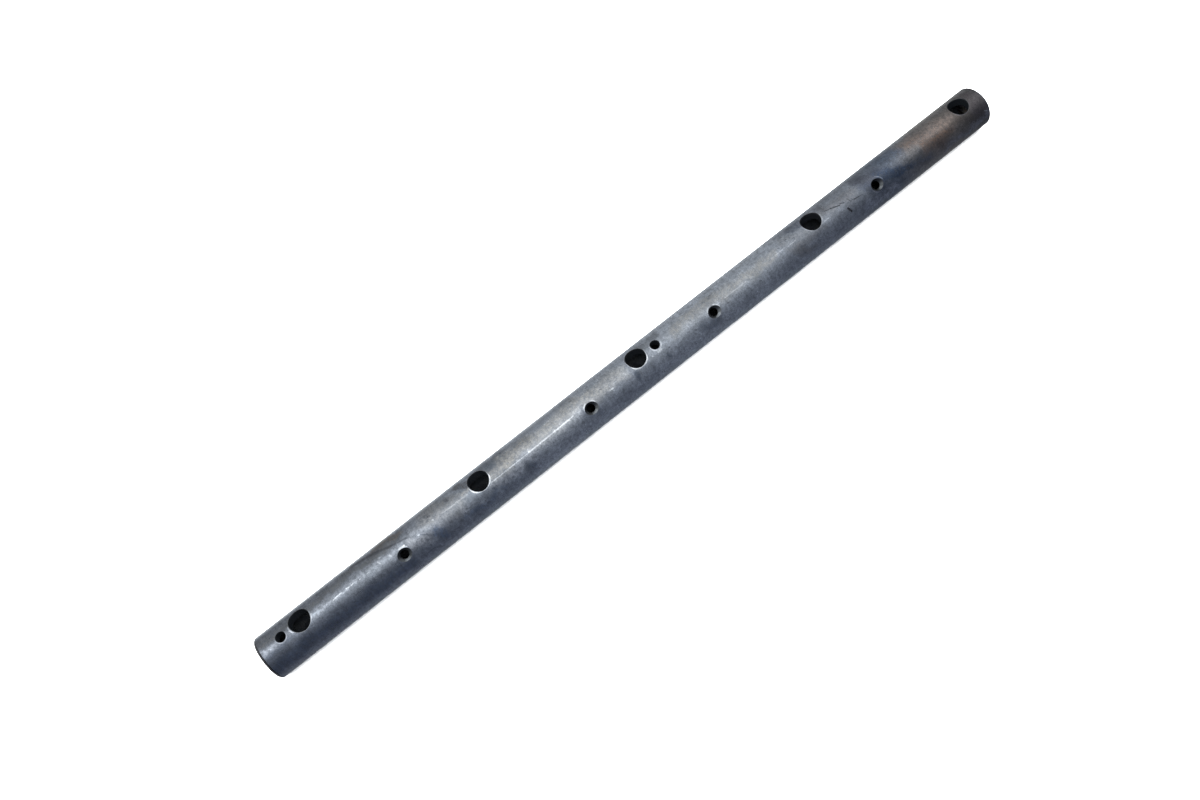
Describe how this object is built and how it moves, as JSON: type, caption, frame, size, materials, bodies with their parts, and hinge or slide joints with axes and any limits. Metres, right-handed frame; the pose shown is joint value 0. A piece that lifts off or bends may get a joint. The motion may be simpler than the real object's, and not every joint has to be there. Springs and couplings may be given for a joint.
{
  "type": "rocker shaft",
  "caption": "Long round hollow steel shaft that carries an engine's rocker arms, cross-drilled for its holding bolts, with countersunk oil outlets and plugged ends.",
  "frame": {"origin": "on the shaft's axis at half its length", "axes": "+X along the shaft from the front end to the rear end, +Z out of the bolt holes on the side that also has the small holes and the oil outlets, -Y on the side that the oil outlets are turned to"},
  "size_m": [0.3802, 0.0188, 0.0188],
  "materials": {
    "ground_steel": "ground and hardened, darkened by hot oil, with worn and stained stretches",
    "plug_steel": "drawn sheet steel, dull"
  },
  "bodies": {
    "root": {"shaft": "ground_steel", "front_end_plug": "plug_steel", "rear_end_plug": "plug_steel"}
  },
  "joints": []
}
